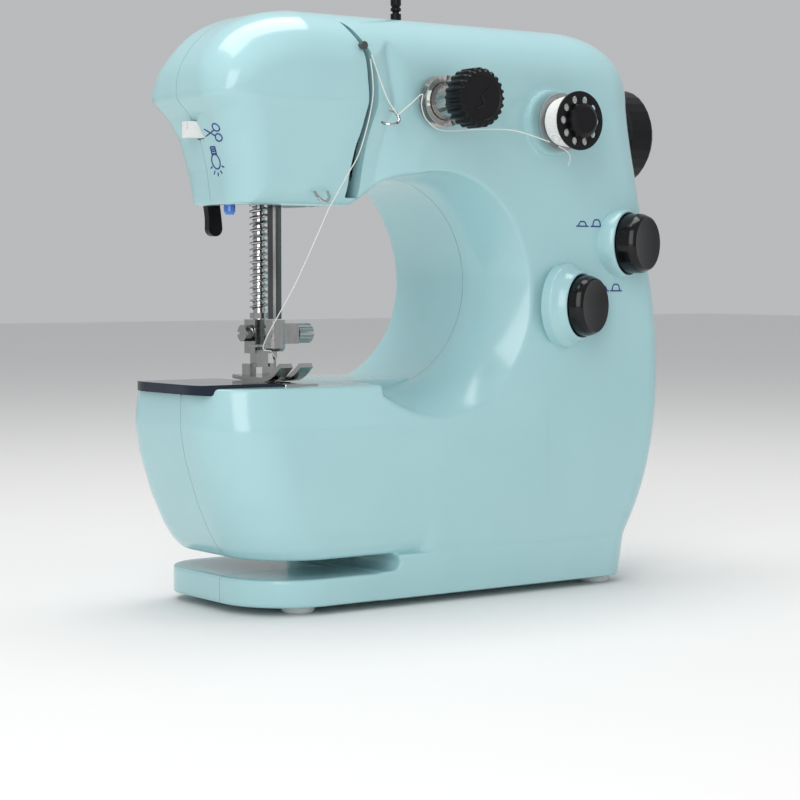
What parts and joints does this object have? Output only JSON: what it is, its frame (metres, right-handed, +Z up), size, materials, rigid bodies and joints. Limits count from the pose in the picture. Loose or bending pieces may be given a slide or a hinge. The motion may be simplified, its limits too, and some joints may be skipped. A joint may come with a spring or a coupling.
{
  "type": "sewing machine",
  "caption": "Small free-arm sewing machine with a round throat, handwheel, push buttons, tension knob, top bobbin, needle and presser bars.",
  "frame": {"origin": "centre of the bounding box at the level that the feet stand on", "axes": "+X to the right towards the handwheel, +Y to the back, +Z up; the front with the tension knob faces -Y"},
  "size_m": [0.2054, 0.0986, 0.2378],
  "materials": {
    "teal_plastic": "glossy light teal moulded plastic",
    "black_plastic": "black moulded plastic",
    "white_plastic": "white moulded plastic",
    "smoke_plastic": "smoked translucent plastic",
    "blue_lens": "blue moulded lens",
    "rubber": "pale grey rubber",
    "chrome": "bright chrome plate",
    "steel": "machined steel",
    "dark_steel": "dark plated steel",
    "brass": "sintered brass",
    "belt_rubber": "black belt rubber",
    "thread": "white spun thread"
  },
  "bodies": {
    "housing": {"front_shell": "teal_plastic", "rear_shell": "teal_plastic", "bottom_cover": "teal_plastic", "foot_front_left": "rubber", "foot_front_right": "rubber", "foot_rear_left": "rubber", "foot_rear_right": "rubber", "needle_plate": "chrome", "hook_bush": "brass", "bar_guide": "steel", "thread_cutter": "white_plastic", "lamp": "blue_lens", "arm_thread_guide": "chrome", "head_thread_guide": "chrome", "take_up_pin": "steel", "motor": "steel", "upper_bearing_1": "brass", "upper_bearing_2": "brass", "lower_bearing": "brass", "motor_belt": "belt_rubber", "timing_belt": "belt_rubber", "tension_post": "steel", "tension_disc_rear": "chrome", "tension_disc_front": "chrome", "tension_spring": "chrome", "bobbin_spindle": "steel", "spindle_cap": "black_plastic", "power_switch": "black_plastic", "speed_switch": "black_plastic", "spool_pin_socket": "black_plastic", "power_jack": "black_plastic", "pedal_jack": "black_plastic", "thread_upper": "thread", "thread_lower": "thread"},
    "battery_door": {"battery_door": "teal_plastic"},
    "bobbin_cover": {"bobbin_cover": "smoke_plastic"},
    "feed_dog": {"feed_dog": "steel"},
    "hook": {"shuttle_hook": "steel"},
    "lower_bobbin": {"lower_bobbin": "white_plastic"},
    "needle_bar": {"needle_bar": "dark_steel", "needle_clamp": "chrome", "needle": "chrome"},
    "clamp_screw": {"needle_clamp_screw": "chrome"},
    "presser_bar": {"presser_bar": "chrome", "presser_foot_holder": "chrome", "presser_foot_screw": "chrome", "presser_spring": "chrome"},
    "presser_foot": {"presser_foot": "chrome"},
    "presser_lifter": {"presser_lifter": "black_plastic"},
    "take_up_lever": {"take_up_lever": "dark_steel"},
    "main_shaft": {"main_shaft": "steel", "handwheel": "black_plastic"},
    "lower_shaft": {"lower_shaft": "steel"},
    "motor_rotor": {"motor_pulley": "brass"},
    "tension_knob": {"tension_knob": "black_plastic"},
    "top_bobbin": {"top_bobbin": "black_plastic", "top_bobbin_thread": "thread"},
    "power_button": {"power_button": "black_plastic"},
    "speed_button": {"speed_button": "black_plastic"},
    "spool_pin": {"spool_pin": "black_plastic"}
  },
  "joints": [
    {"name": "handwheel_turn", "type": "hinge", "parent": "housing", "child": "main_shaft", "pos_m": [0.0943, 0.0123, 0.1668], "axis": [1, 0, 0], "continuous": true},
    {"name": "lower_shaft_turn", "type": "hinge", "parent": "housing", "child": "lower_shaft", "pos_m": [-0.0057, 0.0123, 0.0468], "axis": [1, 0, 0], "continuous": true},
    {"name": "hook_turn", "type": "hinge", "parent": "housing", "child": "hook", "pos_m": [-0.0787, 0.0123, 0.0588], "axis": [0, 0, 1], "continuous": true},
    {"name": "motor_turn", "type": "hinge", "parent": "housing", "child": "motor_rotor", "pos_m": [0.0633, 0.0123, 0.1308], "axis": [1, 0, 0], "continuous": true},
    {"name": "needle_bar_slide", "type": "slide", "parent": "housing", "child": "needle_bar", "axis": [0, 0, 1], "range_m": [0, 0.022]},
    {"name": "take_up_swing", "type": "hinge", "parent": "housing", "child": "take_up_lever", "pos_m": [-0.0831, -0.0152, 0.1708], "axis": [0, 1, 0], "range_deg": [0, 44]},
    {"name": "clamp_screw_turn", "type": "hinge", "parent": "needle_bar", "child": "clamp_screw", "pos_m": [-0.0497, 0.0053, 0.0938], "axis": [1, 0, 0], "continuous": true},
    {"name": "presser_bar_slide", "type": "slide", "parent": "housing", "child": "presser_bar", "axis": [0, 0, 1], "range_m": [0, 0.005], "deforming": ["presser_spring"]},
    {"name": "presser_lifter_swing", "type": "hinge", "parent": "housing", "child": "presser_lifter", "pos_m": [-0.0751, 0.0303, 0.1428], "axis": [0, 1, 0], "range_deg": [0, 90]},
    {"name": "presser_foot_tilt", "type": "hinge", "parent": "presser_bar", "child": "presser_foot", "pos_m": [-0.0637, 0.0153, 0.0828], "axis": [1, 0, 0], "range_deg": [-3, 0]},
    {"name": "feed_dog_slide", "type": "slide", "parent": "housing", "child": "feed_dog", "axis": [0, 1, 0], "range_m": [-0.0015, 0.0015]},
    {"name": "tension_knob_turn", "type": "hinge", "parent": "housing", "child": "tension_knob", "pos_m": [-0.0162, -0.0447, 0.1728], "axis": [0, 1, 0], "continuous": true},
    {"name": "top_bobbin_turn", "type": "hinge", "parent": "housing", "child": "top_bobbin", "pos_m": [0.0353, -0.0347, 0.1678], "axis": [0, 1, 0], "continuous": true},
    {"name": "lower_bobbin_turn", "type": "hinge", "parent": "housing", "child": "lower_bobbin", "pos_m": [-0.0787, 0.0123, 0.0668], "axis": [0, 0, 1], "continuous": true},
    {"name": "power_button_press", "type": "slide", "parent": "housing", "child": "power_button", "axis": [-0.342, 0.9397, 0], "range_m": [0, 0.003], "stiffness_N_per_m": 300},
    {"name": "speed_button_press", "type": "slide", "parent": "housing", "child": "speed_button", "axis": [-0.342, 0.9397, 0], "range_m": [0, 0.003], "stiffness_N_per_m": 300},
    {"name": "bobbin_cover_slide", "type": "slide", "parent": "housing", "child": "bobbin_cover", "axis": [-1, 0, 0], "range_m": [0, 0.034]},
    {"name": "battery_door_slide", "type": "slide", "parent": "housing", "child": "battery_door", "axis": [0, 0, -1], "range_m": [0, 0.0025]},
    {"name": "spool_pin_slide", "type": "slide", "parent": "housing", "child": "spool_pin", "axis": [0, 0, 1], "range_m": [0, 0.016]}
  ],
  "couplings": [
    {"joint": "lower_shaft_turn", "follows": "handwheel_turn", "ratio": 1},
    {"joint": "hook_turn", "follows": "handwheel_turn", "ratio": 2},
    {"joint": "motor_turn", "follows": "handwheel_turn", "ratio": 4},
    {"joint": "take_up_swing", "follows": "needle_bar_slide", "rad_per_m": 33.32},
    {"joint": "presser_lifter_swing", "follows": "presser_bar_slide", "rad_per_m": 314.16}
  ]
}
